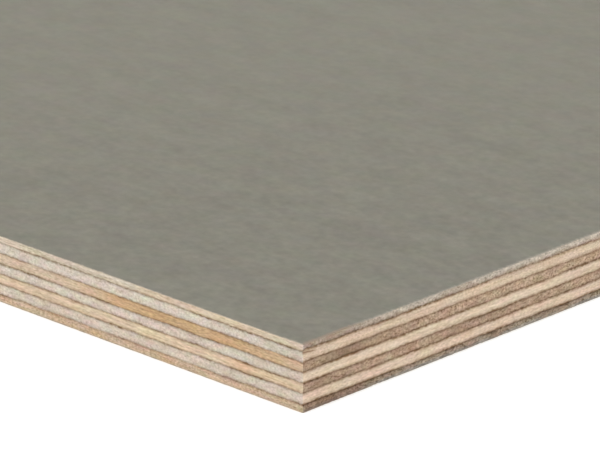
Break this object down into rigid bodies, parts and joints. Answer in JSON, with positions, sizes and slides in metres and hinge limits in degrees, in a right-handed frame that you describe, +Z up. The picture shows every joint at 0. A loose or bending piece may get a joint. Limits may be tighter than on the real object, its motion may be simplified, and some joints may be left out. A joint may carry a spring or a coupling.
{
  "type": "film-faced plywood sheet",
  "caption": "Flat rectangular plywood sheet of cross-laid wood veneers with a smooth grey resin film on both faces and bare sawn edges, for panels and formwork.",
  "frame": {"origin": "middle of the underside", "axes": "+X along the length and the face grain, +Y across the width, +Z up through the thickness"},
  "size_m": [2.5, 1.25, 0.009],
  "materials": {
    "film": "satin",
    "long_veneer": "matte",
    "cross_veneer": "matte"
  },
  "bodies": {
    "root": {"film_top": "film", "veneer_1_face": "long_veneer", "veneer_2_cross": "cross_veneer", "veneer_3_long": "long_veneer", "veneer_4_cross": "cross_veneer", "veneer_5_long": "long_veneer", "veneer_6_cross": "cross_veneer", "veneer_7_back": "long_veneer", "film_bottom": "film"}
  },
  "joints": []
}
